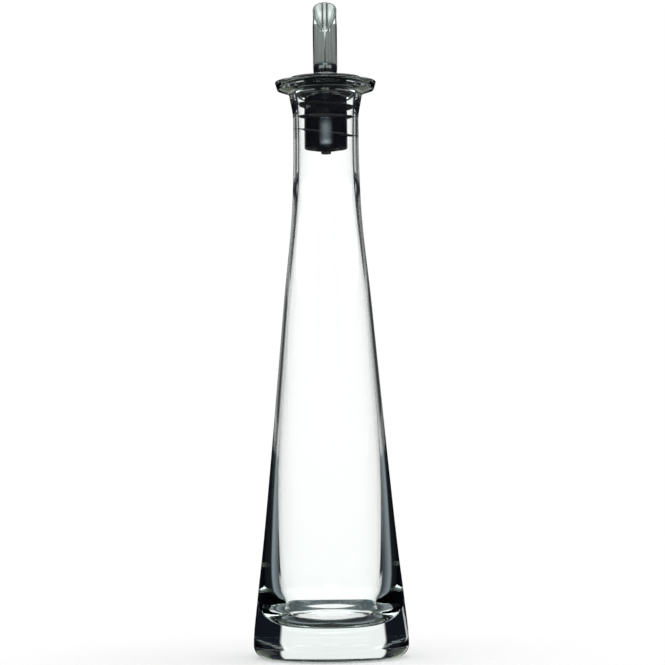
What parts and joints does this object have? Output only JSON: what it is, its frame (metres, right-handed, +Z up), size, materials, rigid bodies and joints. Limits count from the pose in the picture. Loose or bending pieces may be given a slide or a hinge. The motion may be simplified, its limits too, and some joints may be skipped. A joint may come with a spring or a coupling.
{
  "type": "oil bottle",
  "caption": "Tall tapering clear glass oil bottle with a heavy base and flanged mouth, closed by a lift-out black pouring stopper with rubber rings and a slanted steel spout.",
  "frame": {"origin": "centre of the glass base's flat underside", "axes": "+Z up along the bottle's centre line, -Y towards the open side of the spout, +X to the right of someone who faces that side"},
  "size_m": [0.066, 0.066, 0.2805],
  "materials": {
    "glass": "clear, thick-based soda-lime glass, fire-polished",
    "ring": "soft black rubber, dull",
    "stopper": "moulded black plastic, semi-gloss",
    "spout": "polished stainless steel, fine lengthwise draw lines",
    "air_tube": "drawn stainless steel",
    "holder": "moulded black plastic"
  },
  "bodies": {
    "bottle": {"glass_bottle": "glass"},
    "rings": {"sealing_ring_1": "ring", "sealing_ring_2": "ring", "sealing_ring_3": "ring", "sealing_ring_4": "ring"},
    "stopper": {"stopper_core": "stopper", "spout_tube": "spout", "air_tube": "air_tube", "air_tube_holder": "holder"}
  },
  "joints": [
    {"name": "stopper_lift", "type": "slide", "parent": "bottle", "child": "rings", "axis": [0, 0, 1], "range_m": [0, 0.045]},
    {"name": "stopper_turn", "type": "hinge", "parent": "rings", "child": "stopper", "pos_m": [0, 0, 0.2458], "axis": [0, 0, 1], "continuous": true}
  ]
}
